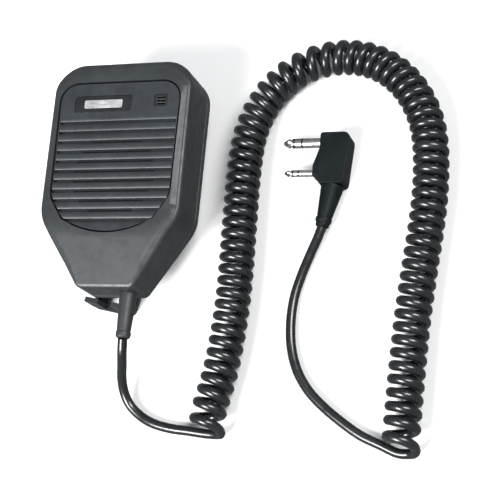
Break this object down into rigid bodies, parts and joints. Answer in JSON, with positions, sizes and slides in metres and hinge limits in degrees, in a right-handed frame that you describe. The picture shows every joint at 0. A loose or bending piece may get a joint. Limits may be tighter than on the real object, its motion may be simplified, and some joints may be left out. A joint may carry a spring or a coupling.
{
  "type": "hand microphone",
  "caption": "Compact two-way radio speaker microphone with louvred grille, press-to-talk bar, swivelling spring clip, curly cord and a right-angle two-pin plug.",
  "frame": {"origin": "on the clip's swivel axis, in the plane of the clip's outer face, on which the microphone lies", "axes": "+Z out of the speaker grille, parallel to the swivel axis; +Y to the top of the case; +X to the right seen from the grille"},
  "size_m": [0.1418, 0.1477, 0.0334],
  "materials": {
    "case_plastic": "fine moulded texture, satin",
    "grille_plastic": "fine moulded texture, satin",
    "dark_plastic": "smooth satin",
    "silver_bar": "brushed, blank",
    "cloth": "fine open weave",
    "foam": "closed-cell foam",
    "basket_steel": "zinc grey",
    "cone_paper": "dark pressed paper",
    "magnet": "bare ferrite",
    "capsule": "spun",
    "rubber": "soft matte",
    "board": "solder resist over glass fibre",
    "screw_steel": "zinc plated",
    "lead_red": "wire sleeve",
    "lead_yellow": "wire sleeve",
    "tie_nylon": "nylon",
    "ptt_plastic": "satin, ribbed",
    "switch_plastic": "satin",
    "plunger_plastic": "satin",
    "clip_plastic": "satin",
    "spring_steel": "drawn wire",
    "cord_jacket": "smooth glossy polyurethane",
    "plug_plastic": "moulded, satin",
    "plug_metal": "bright nickel",
    "plug_ring": "insulator"
  },
  "bodies": {
    "mic_body": {"front_case": "case_plastic", "rear_case": "case_plastic", "grille_panel": "grille_plastic", "nameplate": "dark_plastic", "nameplate_bar": "silver_bar", "mic_port_cover": "dark_plastic", "speaker_cloth": "cloth", "speaker_gasket": "foam", "speaker_basket": "basket_steel", "speaker_cone": "cone_paper", "speaker_magnet": "magnet", "mic_element": "capsule", "mic_holder": "rubber", "circuit_board": "board", "board_screws": "screw_steel", "case_screws": "screw_steel", "speaker_leads": "lead_red", "cord_leads": "lead_yellow", "cord_inner_end": "cord_jacket", "cable_tie": "tie_nylon", "strain_relief": "rubber", "ptt_pin": "screw_steel", "ptt_switch_body": "switch_plastic", "cord_mic_end": "cord_jacket", "cord_coil": "cord_jacket", "cord_plug_end": "cord_jacket", "plug_body": "plug_plastic", "plug_boot": "plug_plastic", "large_pin_sleeve": "plug_metal", "large_pin_ring": "plug_metal", "large_pin_tip": "plug_metal", "large_pin_insulators": "plug_ring", "small_pin_sleeve": "plug_metal", "small_pin_ring": "plug_metal", "small_pin_tip": "plug_metal", "small_pin_insulators": "plug_ring"},
    "ptt_bar": {"ptt_button": "ptt_plastic"},
    "switch_plunger": {"ptt_switch_plunger": "plunger_plastic"},
    "clip_swivel": {"swivel_base": "clip_plastic", "swivel_washer": "screw_steel", "swivel_screw": "screw_steel", "clip_pin": "screw_steel", "clip_spring": "spring_steel"},
    "clip_jaw": {"clip_jaw": "clip_plastic"}
  },
  "joints": [
    {"name": "ptt_press", "type": "hinge", "parent": "mic_body", "child": "ptt_bar", "pos_m": [-0.0222, 0.025, 0.02165], "axis": [0, 0, 1], "range_deg": [0, 2.5], "stiffness_Nm_per_rad": 0.6, "springref_deg": -3.44},
    {"name": "switch_travel", "type": "slide", "parent": "mic_body", "child": "switch_plunger", "axis": [1, 0, 0], "range_m": [0, 0.001]},
    {"name": "clip_turn", "type": "hinge", "parent": "mic_body", "child": "clip_swivel", "pos_m": [0, 0, 0.009], "axis": [0, 0, 1], "range_deg": [-190, 45]},
    {"name": "clip_open", "type": "hinge", "parent": "clip_swivel", "child": "clip_jaw", "pos_m": [0.00109, 0.0059, 0.0046], "axis": [0.9833, -0.1822, 0], "range_deg": [0, 20], "stiffness_Nm_per_rad": 0.2, "springref_deg": -28.65, "deforming": ["clip_spring"]}
  ],
  "couplings": [
    {"joint": "switch_travel", "follows": "ptt_press", "m_per_rad": 0.022}
  ]
}
